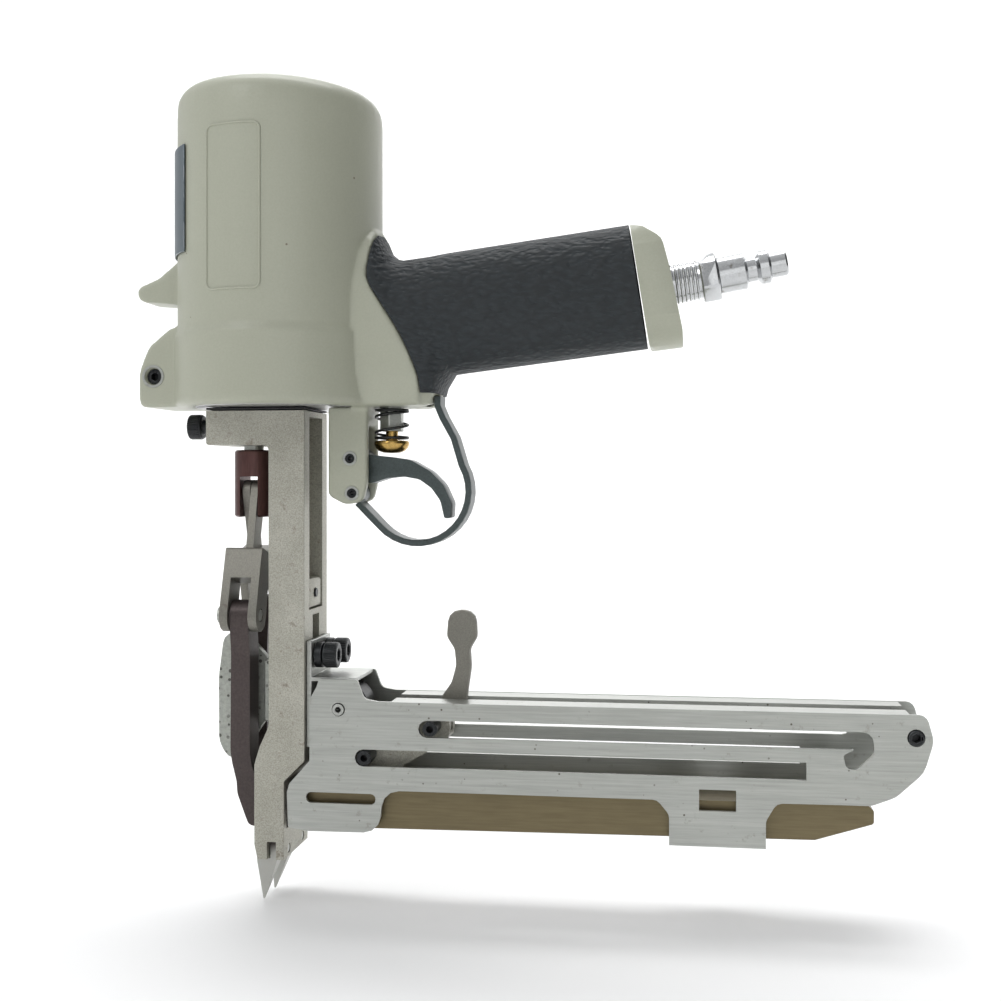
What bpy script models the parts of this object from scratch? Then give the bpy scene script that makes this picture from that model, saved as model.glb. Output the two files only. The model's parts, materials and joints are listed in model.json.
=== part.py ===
"""Air-driven clinching tool with a long clip magazine, as separate solids.

Lengths below are millimetres, with x measured from the drive channel. The finished
model's origin is the middle of the nose's rear foot, ORIGIN_X behind that channel.
+X runs towards the handle and magazine, +Y away from the near side, +Z up.
"""
import math

import bmesh
import bpy
from mathutils import Matrix, Vector

MM = 0.001
ORIGIN_X = 3.5
GAP = 0.3                 # between neighbours that touch on the real tool
ROUND_STEP = math.radians(30)

# Barrel and lower body
BARREL_X = 0.1
BARREL_R = 35.2
BODY_BOTTOM = 153.3
CROWN_TOP = 266.5
CROWN_TILT = -0.03
BORE_R = 29.5
BORE_TOP = 252.0
SKIRT_TOP = 179.0
LINER_BOTTOM = 184.3
PISTON_Z = (226.0, 238.0)
BASE_TOP = 184.0

# Frame, nose and driver
FRAME_HALF = 14.0
FRAME_TOP = 152.0
BLOCK_BOTTOM = 140.3
BAR_REAR = 12.5
NOSE_FRONT = -5.0
NOSE_REAR = 5.4
BLADE_X = (-0.1, 1.9)
BLADE_HALF = 4.0
BLADE_REST = 25.0

# Jaw linkage: one rod, two links that spread, two levers with the jaws at their ends
LINK_X = -9.8
CLEVIS_R = 6.6
CLEVIS_PIN_Z = 124.3
LEVER_PIN = (12.0, 82.4)       # y, z of the yoke pin at rest
JAW_PIN = (8.0, 2.6)           # y, z of the jaw's fixed pivot
OPEN_PIVOT_PLAY = 0.6          # yoke pin in the lever's eye
LINK_LENGTH = math.hypot(LEVER_PIN[0], CLEVIS_PIN_Z - LEVER_PIN[1])
LINK_LEAN = math.atan2(LEVER_PIN[0], CLEVIS_PIN_Z - LEVER_PIN[1])

# Trigger and valve
TRIGGER_PIN = (26.9, 135.7)
GUARD_PIN = (27.6, 123.9)
LEG_HALF = 9.0
FORK_HALF = 5.0
VALVE_X = 39.5
GUARD_CENTRE = (49.3, 124.6)
GUARD_R = 17.7
STRAP = 2.2

# Handle and air plug
GRIP_THICK = 2.5
SIDES = 20               # of the handle's rounded section
PLUG_START = (131.0, 192.8)
PLUG_RISE = math.radians(10.0)

# Magazine
PLATE_OUT = 13.6
PLATE_THICK = 1.3
PLATE_TOP = 54.2
PLATE_BOTTOM = 24.7
RAIL_HALF = 10.0
UPPER_PIN = (55.5, 45.5)
LOWER_PIN = (33.1, 35.3)
UPPER_SLOT = (51.6, 194.5)
LOWER_SLOT = (29.9, 177.9)
SLOT_HALF = 2.85
LOWER_END = (LOWER_PIN[1] - SLOT_HALF, LOWER_PIN[1] + SLOT_HALF)
ROLL_PIN = (24.2, 51.3)
REAR_PIN = (211.8, 46.9)

for stale in list(bpy.data.objects):
    bpy.data.objects.remove(stale)

parts = bpy.data.collections.new("clinching_tool")
tools = bpy.data.collections.new("cutters")
for collection in (parts, tools):
    bpy.context.scene.collection.children.link(collection)

FINISHES = {
    # colour, metallic, roughness
    "paint": ((0.33, 0.34, 0.27), 0.0, 0.45),
    "grip": ((0.03, 0.037, 0.044), 0.0, 0.75),
    "chrome": ((0.75, 0.76, 0.78), 1.0, 0.18),
    "cast_steel": ((0.36, 0.35, 0.30), 0.9, 0.50),
    "sheet": ((0.45, 0.46, 0.44), 1.0, 0.32),
    "black_steel": ((0.03, 0.03, 0.035), 0.8, 0.40),
    "dark_paint": ((0.08, 0.10, 0.10), 0.2, 0.45),
    "brown_steel": ((0.10, 0.055, 0.05), 0.7, 0.40),
    "lever_steel": ((0.085, 0.07, 0.065), 0.7, 0.45),
    "bronze": ((0.18, 0.145, 0.08), 0.8, 0.40),
    "brass": ((0.62, 0.42, 0.14), 1.0, 0.25),
    "spring_steel": ((0.28, 0.28, 0.27), 1.0, 0.35),
    "zinc": ((0.48, 0.49, 0.47), 0.9, 0.42),
    "alloy": ((0.55, 0.55, 0.56), 1.0, 0.35),
    "plate": ((0.20, 0.25, 0.29), 0.6, 0.40),
    "seal": ((0.02, 0.02, 0.02), 0.0, 0.60),
}


def finish(name, slot):
    """The node's own material, in its slot's colour."""
    colour, metallic, roughness = FINISHES[slot]
    material = bpy.data.materials.new(name)
    material.use_nodes = True
    shader = material.node_tree.nodes["Principled BSDF"]
    shader.inputs["Base Color"].default_value = (*colour, 1.0)
    shader.inputs["Metallic"].default_value = metallic
    shader.inputs["Roughness"].default_value = roughness
    return material


def new_object(name, mesh):
    obj = bpy.data.objects.new(name, mesh)
    tools.objects.link(obj)
    obj.hide_render = True
    obj.display_type = "WIRE"
    return obj


def node(obj, name, slot):
    """Make a shape one of the tool's named pieces."""
    tools.objects.unlink(obj)
    parts.objects.link(obj)
    obj.name = name
    obj.hide_render = False
    obj.display_type = "TEXTURED"
    obj.data.materials.clear()
    obj.data.materials.append(finish(name, slot))
    obj.data.shade_smooth()
    obj.data.set_sharp_from_angle(angle=math.radians(35))
    return obj


def from_bmesh(shape, matrix=Matrix()):
    mesh = bpy.data.meshes.new("shape")
    shape.transform(Matrix.Translation((-ORIGIN_X, 0, 0)) @ matrix)
    shape.transform(Matrix.Scale(MM, 4))
    shape.to_mesh(mesh)
    shape.free()
    return new_object("shape", mesh)


def cuboid(x, y, z):
    """A box from three (low, high) pairs."""
    shape = bmesh.new()
    bmesh.ops.create_cube(shape, size=1.0)
    size = Matrix.Diagonal((x[1] - x[0], y[1] - y[0], z[1] - z[0], 1.0))
    centre = Matrix.Translation((sum(x) / 2, sum(y) / 2, sum(z) / 2))
    return from_bmesh(shape, centre @ size)


def cylinder(start, end, radius, segments=16):
    """A rod or cone between two points."""
    start, end = Vector(start), Vector(end)
    shape = bmesh.new()
    bmesh.ops.create_cone(
        shape,
        cap_ends=True,
        segments=segments,
        radius1=radius,
        radius2=radius,
        depth=(end - start).length,
    )
    turn = (end - start).to_track_quat("Z", "Y").to_matrix().to_4x4()
    return from_bmesh(shape, Matrix.Translation((start + end) / 2) @ turn)


def rounded(corners):
    """Points of a closed outline whose corners are (u, v) or (u, v, fillet radius)."""
    points = []
    for index, corner in enumerate(corners):
        here = Vector(corner[:2])
        radius = corner[2] if len(corner) > 2 else 0
        if not radius:
            points.append(here)
            continue
        before = (Vector(corners[index - 1][:2]) - here).normalized()
        after = (Vector(corners[(index + 1) % len(corners)][:2]) - here).normalized()
        half = before.angle(after) / 2
        centre = here + (before + after).normalized() * radius / math.sin(half)
        first = here + before * radius / math.tan(half) - centre
        last = here + after * radius / math.tan(half) - centre
        begin = math.atan2(first.y, first.x)
        sweep = math.atan2(last.y, last.x) - begin
        sweep = (sweep + math.pi) % (2 * math.pi) - math.pi
        steps = max(2, math.ceil(abs(sweep) / ROUND_STEP))
        for step in range(steps + 1):
            angle = begin + sweep * step / steps
            points.append(centre + Vector((math.cos(angle), math.sin(angle))) * radius)
    return points


PLANES = {
    "XZ": Matrix(((1, 0, 0), (0, 0, -1), (0, 1, 0))).to_4x4(),
    "XY": Matrix.Identity(4),
    "YZ": Matrix(((0, 0, 1), (1, 0, 0), (0, 1, 0))).to_4x4(),
}
DEPTH = {"XZ": (0, 1, 0), "XY": (0, 0, 1), "YZ": (1, 0, 0)}


def plate(plane, corners, low, high):
    """A flat outline in one plane, thick from low to high along the third axis."""
    curve = bpy.data.curves.new("outline", "CURVE")
    curve.dimensions = "2D"
    curve.fill_mode = "BOTH"
    curve.extrude = (high - low) / 2
    points = rounded(corners)
    spline = curve.splines.new("POLY")
    spline.points.add(len(points) - 1)
    spline.use_cyclic_u = True
    for place, point in zip(spline.points, points):
        place.co = (point.x, point.y, 0, 1)
    holder = bpy.data.objects.new("outline", curve)
    bpy.context.scene.collection.objects.link(holder)
    graph = bpy.context.evaluated_depsgraph_get()
    flat = bpy.data.meshes.new_from_object(holder.evaluated_get(graph))
    bpy.data.objects.remove(holder)
    shape = bmesh.new()
    shape.from_mesh(flat)
    bmesh.ops.remove_doubles(shape, verts=shape.verts, dist=0.0001)
    bmesh.ops.recalc_face_normals(shape, faces=shape.faces)
    middle = Vector(DEPTH[plane]) * (low + high) / 2
    return from_bmesh(shape, Matrix.Translation(middle) @ PLANES[plane])


def turned(profile, foot=(0, 0, 0), along=(0, 0, 1), segments=28):
    """A turned solid: (radius, height) points from top to bottom, both ends on the axis."""
    mesh = bpy.data.meshes.new("profile")
    places = [(radius * MM, 0, height * MM) for radius, height in profile]
    edges = [(i, i + 1) for i in range(len(places) - 1)]
    mesh.from_pydata(places, edges, [])
    obj = new_object("turned", mesh)
    screw = obj.modifiers.new("Screw", "SCREW")
    screw.axis = "Z"
    screw.steps = segments
    screw.render_steps = segments
    screw.use_merge_vertices = True
    screw.merge_threshold = 0.00005
    turn = Vector(along).to_track_quat("Z", "Y").to_matrix().to_4x4()
    graph = bpy.context.evaluated_depsgraph_get()
    solid = bpy.data.meshes.new_from_object(obj.evaluated_get(graph))
    bpy.data.objects.remove(obj)
    shape = bmesh.new()
    shape.from_mesh(solid)
    shape.transform(Matrix.Scale(1 / MM, 4))
    bmesh.ops.remove_doubles(shape, verts=shape.verts, dist=0.0001)
    bmesh.ops.recalc_face_normals(shape, faces=shape.faces)
    return from_bmesh(shape, Matrix.Translation(foot) @ turn)


def tube(outer, inner, low, high, x=0.0, segments=28):
    """An upright ring or sleeve on the axis at x."""
    ring = cylinder((x, 0, low), (x, 0, high), outer, segments=segments)
    return cut(ring, cylinder((x, 0, low - 1), (x, 0, high + 1), inner, segments=segments))


def soften(obj, width, segments=2):
    bevel = obj.modifiers.new("Bevel", "BEVEL")
    bevel.width = width * MM
    bevel.segments = segments
    bevel.limit_method = "ANGLE"
    bevel.angle_limit = math.radians(40)
    return obj


def combine(obj, others, operation):
    for other in others:
        step = obj.modifiers.new("Boolean", "BOOLEAN")
        step.operation = operation
        step.solver = "EXACT"
        step.object = other
    return obj


def cut(obj, *others):
    return combine(obj, others, "DIFFERENCE")


def join(obj, *others):
    return combine(obj, others, "UNION")


def keep(obj, *others):
    return combine(obj, others, "INTERSECT")


def crosswise(x, z, radius, half, segments=16):
    """A round bar along Y, centred on the middle plane."""
    return cylinder((x, -half, z), (x, half, z), radius, segments=segments)


def handle_top(x):
    """Height of the handle's top line, with the flare that meets the barrel."""
    straight = 204.0 + (x - 48.1) * 9.4 / 72.8
    return straight + max(0.0, 45.0 - x) ** 2 / 9.0 if x > 36 else 214.0


def handle_bottom(x):
    """Height of the handle's bottom line, with the flare down to the body's lower face."""
    straight = 164.4 + (x - 63.1) * 7.8 / 64.2
    return max(146.0, straight - max(0.0, 61.5 - x) ** 2 / 2.6)


def handle_form(inset, first, last):
    """The handle's lofted form, shrunk by inset, between two stations in X."""
    stations = [x for x in (10, 30, 36, 39, 42, 45, 50, 54, 56, 58, 61, 66, 90, 120, 150)]
    stations = sorted({first, last} | {x for x in stations if first < x < last})
    shape = bmesh.new()
    rings = []
    for x in stations:
        top, bottom = handle_top(x) - inset, handle_bottom(x) + inset
        half_high, middle = (top - bottom) / 2, (top + bottom) / 2
        half_wide = 16.0 + max(0.0, 60.0 - max(x, 30.0)) * 0.1 - inset
        ring = []
        for side in range(SIDES):
            angle = 2 * math.pi * side / SIDES
            across, up = math.cos(angle), math.sin(angle)
            across = math.copysign(abs(across) ** 0.72, across)
            up = math.copysign(abs(up) ** 0.72, up)
            ring.append(shape.verts.new((x, across * half_wide, middle + up * half_high)))
        rings.append(ring)
    for here, there in zip(rings, rings[1:]):
        for side in range(SIDES):
            after = (side + 1) % SIDES
            shape.faces.new((here[side], here[after], there[after], there[side]))
    shape.faces.new(rings[0])
    shape.faces.new(list(reversed(rings[-1])))
    bmesh.ops.recalc_face_normals(shape, faces=shape.faces)
    return from_bmesh(shape)


# The line where the rubber grip meets the painted body, from top to bottom.
GRIP_EDGE = (
    (39.5, 225.0), (35.6, 206.0, 12), (34.4, 195.5, 10), (46.5, 176.5, 60),
    (52.3, 163.0, 20), (52.9, 140.0),
)
GRIP_REAR = ((118.5, 229.0), (132.0, 142.0))


def grip_region(offset, low_x=None):
    """Everything behind the grip's front edge, or in front of it when low_x is given."""
    edge = [(corner[0] + offset, *corner[1:]) for corner in GRIP_EDGE]
    if low_x is not None:
        return plate("XZ", [*edge, (low_x, 140.0), (low_x, 225.0)], -30, 30)
    return plate("XZ", [*edge, (GRIP_REAR[1][0], 140.0), GRIP_REAR[0]], -30, 30)


def barrel():
    """The round barrel with its crown leaning towards the handle."""
    crown = []
    for step in range(5):
        radius = 28.0 * step / 4
        crown.append((radius, CROWN_TOP - radius ** 2 / 160))
    corner = 7.2
    for step in range(1, 5):
        angle = math.radians(78 - 78 * step / 4)
        crown.append((BARREL_R - corner * (1 - math.cos(angle)), CROWN_TOP - 12.5 + corner * math.sin(angle)))
    profile = crown + [(BARREL_R, 240.0), (BARREL_R, BODY_BOTTOM + 2), (0, BODY_BOTTOM + 2)]
    shape = turned(profile, foot=(BARREL_X, 0, 0), segments=40)
    for vertex in shape.data.vertices:
        if vertex.co.z > 245 * MM:
            vertex.co.z += CROWN_TILT * vertex.co.x
    return shape


def body_casting():
    skirt = cylinder((BARREL_X, 0, BODY_BOTTOM), (BARREL_X, 0, SKIRT_TOP), BARREL_R + 0.9, segments=40)
    soften(skirt, 1.0, 1)
    tongue = plate(
        "XZ",
        [(-10, BODY_BOTTOM), (-10, 180.4), (-35, 180.4, 2), (-42.8, 174, 5), (-46.1, 166, 5),
         (-46.1, BODY_BOTTOM, 2)],
        -14, 14,
    )
    soften(tongue, 1.4, 2)
    hook = plate(
        "XZ",
        [(-20, 206), (-34.5, 204.5), (-42, 198.4, 3), (-49.5, 195.4, 2), (-49.5, 190.6, 2.5),
         (-34, 189.2, 2), (-20, 189)],
        -7.5, 7.5,
    )
    soften(hook, 2.0, 2)
    web = keep(handle_form(0.0, 10, 60), grip_region(-GAP, low_x=5.0))
    web_floor = cuboid((-80, 80), (-60, 60), (120, BODY_BOTTOM + 0.1))
    core_floor = cuboid((-80, 80), (-60, 60), (120, BODY_BOTTOM + 0.4))
    leg = plate(
        "XZ",
        [(19.3, 175), (19.3, 123, 2), (25.3, 119.9, 3), (31.5, 121.2, 3), (32.9, 128, 2), (32.9, 175)],
        -LEG_HALF, LEG_HALF,
    )
    soften(leg, 1.2)
    core = handle_form(GRIP_THICK + GAP, 30, 150)
    rear = plate("XZ", [(115.0, 230), (128.9, 140), (170, 140), (170, 230)], -30, 30)
    shape = barrel()
    join(shape, skirt, tongue, hook)
    join(shape, cut(web, web_floor), cut(core, rear, core_floor))
    join(shape, leg)
    cut(
        shape,
        cylinder((BARREL_X, 0, BODY_BOTTOM - 0.05), (BARREL_X, 0, BORE_TOP), BORE_R, segments=40),
        handle_form(GRIP_THICK + 5.0, 44, 150),
        cuboid((21.6, 40), (-FORK_HALF, FORK_HALF), (110, 146.5)),
        crosswise(*TRIGGER_PIN, 1.9, 20),
        crosswise(*GUARD_PIN, 1.9, 20),
        cylinder((-41.0, -20, 163.9), (-41.0, -6, 163.9), 2.9),
        cylinder((VALVE_X, 0, 140), (VALVE_X, 0, 172), 4.6),
        cuboid((54.8, 62), (-30, 30), (130, 157.3)),
    )
    return node(shape, "body_casting", "paint")


def handle():
    grip = keep(handle_form(0.0, 20, 150), grip_region(0.0))
    cut(
        grip,
        handle_form(GRIP_THICK, 15, 160),
        cylinder((BARREL_X, 0, 140), (BARREL_X, 0, 240), BARREL_R + GAP, segments=40),
        cuboid((0, 60), (-40, 40), (130, 157.5)),
    )
    node(grip, "handle_grip", "grip")
    cap = plate(
        "XZ",
        [(121.6, 212.0), (125.7, 211.3, 2), (132.1, 206.8, 5), (134.4, 198.0), (138.8, 177.0, 8),
         (138.8, 169.8, 2.5), (133.0, 169.6, 3), (127.9, 172.6)],
        -15.6, 15.6,
    )
    keep(soften(cap, 1.6, 2), handle_form(-1.0, 110, 150))
    air_way = cylinder(plug_point(-20), plug_point(25), 6.9)
    node(cut(cap, air_way), "handle_end_cap", "paint")


def plug_point(distance):
    """A point along the air plug's axis."""
    return (
        PLUG_START[0] + distance * math.cos(PLUG_RISE),
        0,
        PLUG_START[1] + distance * math.sin(PLUG_RISE),
    )


def air_plug():
    """Quarter-inch plug: thread, hexagon, barrel, neck, ridge and tip."""
    length = 42.4
    profile = [(0, length), (3.6, length), (4.15, length - 0.6), (4.15, 37.0), (5.6, 36.2),
               (5.6, 33.4), (4.1, 32.2), (4.1, 29.3), (6.1, 28.4), (6.1, 20.0), (5.0, 19.2)]
    for height in (14.0, 10.6, 7.2, 3.8):
        profile += [(6.55, height), (6.0, height - 1.7)]
    profile += [(5.6, 0.4), (0, 0.4)]
    along = Vector(plug_point(1)) - Vector(plug_point(0))
    shape = turned(profile, foot=plug_point(0), along=along, segments=24)
    hexagon = cylinder(plug_point(13.8), plug_point(19.7), 8.1, segments=6)
    join(shape, soften(hexagon, 0.5, 1))
    cut(shape, cylinder(plug_point(-5), plug_point(60), 2.6, segments=16))
    node(shape, "air_plug", "chrome")


def arc_sheet(inner, outer, half_angle, low, high):
    """A thin curved sheet on the barrel's front."""
    corners = []
    for radius, sign in ((inner, -1), (outer, 1)):
        for step in range(17):
            angle = math.pi + sign * half_angle * (1 - 2 * step / 16)
            corners.append((BARREL_X + radius * math.cos(angle), radius * math.sin(angle)))
    return plate("XY", corners, low, high)


def body_fittings():
    sheet = arc_sheet(BARREL_R + GAP, BARREL_R + 0.95, math.radians(45), 204.4, 240.2)
    node(sheet, "name_plate", "plate")
    plug = cylinder((-41.0, -12.5, 163.9), (-41.0, -6.5, 163.9), 2.6)
    cut(plug, cylinder((-41.0, -14, 163.9), (-41.0, -9, 163.9), 1.5, segments=6))
    node(plug, "flange_set_screw", "black_steel")
    gasket = cuboid((-22.1, BAR_REAR), (-FRAME_HALF, FRAME_HALF), (FRAME_TOP + GAP, BODY_BOTTOM - GAP))
    cut(
        gasket,
        cylinder((LINK_X, 0, 140), (LINK_X, 0, 160), 4.2),
        cuboid((-0.8, 2.6), (-BLADE_HALF - 0.8, BLADE_HALF + 0.8), (140, 160)),
    )
    node(gasket, "body_gasket", "seal")


def power_unit():
    """What drives the tool: liner, base, bumper, both pistons, the blade and the rod."""
    wall = BORE_R - GAP
    node(tube(wall, 26.8, LINER_BOTTOM, BORE_TOP - GAP, BARREL_X, 40), "cylinder_liner", "alloy")
    base = cylinder((BARREL_X, 0, BODY_BOTTOM), (BARREL_X, 0, BASE_TOP), wall, segments=40)
    cut(
        base,
        cylinder((LINK_X, 0, 162), (LINK_X, 0, 190), 7.3),
        cylinder((LINK_X, 0, 150), (LINK_X, 0, 170), 3.9),
        cuboid((-0.8, 2.6), (-BLADE_HALF - 0.8, BLADE_HALF + 0.8), (140, 190)),
    )
    node(base, "cylinder_base", "alloy")
    node(tube(26.5, 19.0, LINER_BOTTOM, 192.0, BARREL_X), "piston_bumper", "seal")
    low, high = PISTON_Z
    middle = (low + high) / 2
    profile = [(0, high), (26.4, high), (26.4, middle + 1.7), (24.2, middle + 1.7),
               (24.2, middle - 1.7), (26.4, middle - 1.7), (26.4, low), (12, low - 3), (0, low - 3)]
    piston = turned(profile, foot=(BARREL_X, 0, 0))
    cut(piston, cuboid((-0.4, 2.2), (-BLADE_HALF - GAP, BLADE_HALF + GAP), (low - 10, low + 5)))
    node(piston, "main_piston", "alloy")
    node(tube(26.5, 24.5, middle - 1.4, middle + 1.4, BARREL_X), "piston_ring", "seal")
    blade = cuboid(BLADE_X, (-BLADE_HALF, BLADE_HALF), (BLADE_REST, low + 4))
    node(blade, "driver_blade", "sheet")
    rod = cylinder((LINK_X, 0, 134.0), (LINK_X, 0, 174), 3.4)
    join(rod, cylinder((LINK_X, 0, 170), (LINK_X, 0, 177), 7.0))
    node(rod, "jaw_piston_rod", "sheet")


def rotated(points, lean, side):
    """Points (y, z) hung below the clevis pin, swung out by lean towards one side."""
    result = []
    for across, down, *radius in points:
        y = side * (across * math.cos(lean) + down * math.sin(lean))
        z = CLEVIS_PIN_Z + across * math.sin(lean) - down * math.cos(lean)
        result.append((y, z, *radius))
    return result


def linkage():
    """Clevis, spreading links with forked ends, and the two jaw levers."""
    clevis = cylinder((LINK_X, 0, 115.6), (LINK_X, 0, 138.8), CLEVIS_R, segments=32)
    soften(clevis, 0.6, 1)
    cut(
        clevis,
        cuboid((LINK_X - 3.2, LINK_X + 3.2), (-10, 10), (110, 129.6)),
        cylinder((LINK_X - 10, 0, CLEVIS_PIN_Z), (LINK_X + 10, 0, CLEVIS_PIN_Z), 2.0),
        cylinder((LINK_X, 0, 133.6), (LINK_X, 0, 142), 3.4 + GAP),
    )
    node(clevis, "jaw_clevis", "brown_steel")
    pin = cylinder((LINK_X - 6.3, 0, CLEVIS_PIN_Z), (LINK_X + 6.3, 0, CLEVIS_PIN_Z), 1.7)
    node(pin, "clevis_pin", "black_steel")
    for side, name in ((-1, "near"), (1, "far")):
        eye = LINK_X - side * 1.45
        reach = LINK_LENGTH
        bar = plate(
            "YZ",
            rotated([(-4.2, -4.2, 4.1), (4.2, -4.2, 4.1), (3.2, 26), (-3.2, 26)], LINK_LEAN, side),
            eye - 1.3, eye + 1.3,
        )
        yoke = plate(
            "YZ",
            rotated([(-4.8, 21, 0.8), (4.8, 21, 0.8), (5.6, reach + 5.6, 5.2), (-5.6, reach + 5.6, 5.2)],
                    LINK_LEAN, side),
            LINK_X - 6.5, LINK_X + 6.5,
        )
        slot = plate(
            "YZ",
            rotated([(-9, 31.6), (9, 31.6), (9, reach + 12), (-9, reach + 12)], LINK_LEAN, side),
            LINK_X - 3.6, LINK_X + 3.6,
        )
        y, z = side * LEVER_PIN[0], LEVER_PIN[1]
        cut(
            join(bar, soften(yoke, 0.5, 1)),
            slot,
            cylinder((eye - 5, 0, CLEVIS_PIN_Z), (eye + 5, 0, CLEVIS_PIN_Z), 2.0),
            cylinder((LINK_X - 12, y, z), (LINK_X + 12, y, z), 2.3),
        )
        node(bar, f"{name}_link", "cast_steel")
        yoke_pin = cylinder((LINK_X - 7.6, y, z), (LINK_X + 6.4, y, z), 2.0)
        join(yoke_pin, cylinder((LINK_X - 8.2, y, z), (LINK_X - 6.9, y, z), 2.9))
        node(yoke_pin, f"{name}_yoke_pin", "sheet")
        jaw_lever(side, name)


def jaw_lever(side, name):
    """A lever that ends in a pointed jaw below its fixed pivot in the nose."""
    y, z = side * LEVER_PIN[0], LEVER_PIN[1]
    arm = plate(
        "XZ",
        [(-13.0, 95), (-13.4, 32, 8), (-12.6, 21, 8), (-8.4, 10.6, 2), (-1.0, 9.0), (2.2, 9.0), (2.2, 22),
         (-4.0, 23.0), (-6.6, 30, 6), (-6.6, 95)],
        -20, 20,
    )
    outer = [(y * 1.42, z + 5.2, 4.8), (side * 6.9, z + 5.2, 4.8), (side * 4.6, 70, 6),
             (side * 4.6, 30), (side * 5.0, 7.5), (side * 10.2, 7.5), (side * 9.2, 25, 3),
             (side * 14.0, 36, 8), (side * 14.0, 70, 20)]
    lever = plate("YZ", outer, -13.4, 2.6)
    keep(lever, arm)
    blank = plate(
        "YZ",
        [(side * 5.0, 12), (side * 4.7, 2.6), (side * 4.4, -2.0), (side * 6.0, -15.7),
         (side * 11.0, -1.5, 3), (side * 11.2, 3.0, 2), (side * 10.2, 12)],
        -6.0, 4.0,
    )
    jaw_face = plate(
        "XZ",
        [(-0.3, 12), (-0.3, -0.4), (-5.0, -0.4), (-4.4, -15.9), (-3.9, -15.9), (2.3, -0.4),
         (2.2, 12)],
        -20, 20,
    )
    join(lever, keep(blank, jaw_face))
    jy, jz = side * JAW_PIN[0], JAW_PIN[1]
    cut(
        lever,
        cylinder((-20, y, z), (0, y, z), 2.0 + OPEN_PIVOT_PLAY),
        cylinder((-6, jy, jz), (6, jy, jz), 1.6),
    )
    node(lever, f"{name}_jaw_lever", "lever_steel")
    node(cylinder((-4.7, jy, jz), (5.2, jy, jz), 1.3, segments=16), f"{name}_jaw_pin", "sheet")


def frame():
    shape = plate(
        "XZ",
        [(-22.1, FRAME_TOP), (-22.1, BLOCK_BOTTOM, 1), (0, BLOCK_BOTTOM, 2), (0, 45.0, 6),
         (-3.2, 38.0, 6), (NOSE_FRONT, 32.0, 3), (NOSE_FRONT, 5.0), (-3.9, 0), (NOSE_REAR, 0),
         (NOSE_REAR, 26.6, 1), (BAR_REAR, 33.6, 1), (BAR_REAR, FRAME_TOP)],
        -FRAME_HALF, FRAME_HALF,
    )
    soften(shape, 0.9, 1)
    cut(
        shape,
        # channel for the blade, open to the front above the nose
        cuboid((-10, 2.3), (-BLADE_HALF - 0.4, BLADE_HALF + 0.4), (44, BLOCK_BOTTOM - 4)),
        cuboid((-0.7, 2.3), (-BLADE_HALF - 0.5, BLADE_HALF + 0.5), (20, 160)),
        # jaw chamber, its window for the levers, and the clip's way in
        plate("YZ", [(-13, 26), (-13, 6), (-20, 6), (-20, -5), (20, -5), (20, 6), (13, 6), (13, 26)],
              -0.6, 2.6),
        cuboid((-10, 0), (-13.0, 13.0), (7.6, 27.0)),
        cuboid((0, 10), (-11.0, 11.0), (10, 24)),
        cylinder((LINK_X, 0, 130), (LINK_X, 0, 160), 3.9),
        # the two windows in the rear face
        cuboid((6.0, 20), (-8.0, 8.0), (84, 150)),
        cuboid((8.0, 20), (-4.0, 4.0), (60, 82)),
        cylinder((-30, 0, 147), (-17.5, 0, 147), 2.5 + GAP),
    )
    for side in (-1, 1):
        y, z = side * JAW_PIN[0], JAW_PIN[1]
        cut(shape, cylinder((-12, y, z), (12, y, z), 1.6, segments=16))
        cut(shape, cylinder((6.5, side * 6.5, 68.7), (20, side * 6.5, 68.7), 2.5 + GAP))
    node(shape, "frame", "cast_steel")
    cover = cuboid((-3.5, -GAP), (-8, 8), (45.5, 67))
    node(soften(cover, 0.4, 1), "driver_cover", "zinc")
    guard = plate(
        "XZ",
        [(-3.9, 47), (-3.9, 66), (-14, 77, 4), (-20.3, 73.7, 4), (-22.1, 60, 20), (-22.0, 37, 8),
         (-17.4, 28.9, 5), (-14.4, 31, 3)],
        -1.5, 1.5,
    )
    node(soften(guard, 0.4, 1), "lever_guard_plate", "zinc")
    block = cuboid((6.4, BAR_REAR - 0.2), (-7.6, 7.6), (84.3, 94.6))
    soften(block, 1.2)
    node(cut(block, cylinder((9, 0, 89.4), (20, 0, 89.4), 1.8)), "rear_guide_block", "cast_steel")
    screw = cylinder((9.4, 0, 89.4), (12.9, 0, 89.4), 1.5)
    node(screw, "guide_block_screw", "black_steel")
    cap_screw("frame_front_screw", (-18.0, 0, 147), (-1, 0, 0), 10.0)


def cap_screw(name, tip, outward, shank):
    """M5 socket cap screw: its tip, the way its head points and its shank length."""
    tip, outward = Vector(tip), Vector(outward)
    neck = tip + outward * shank
    screw = cylinder(tip, neck + outward, 2.5)
    head = cylinder(neck, neck + outward * 5.0, 4.25)
    join(screw, soften(head, 0.4, 1))
    cut(screw, cylinder(neck + outward * 2.4, neck + outward * 8, 2.3, segments=6))
    node(screw, name, "black_steel")


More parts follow.
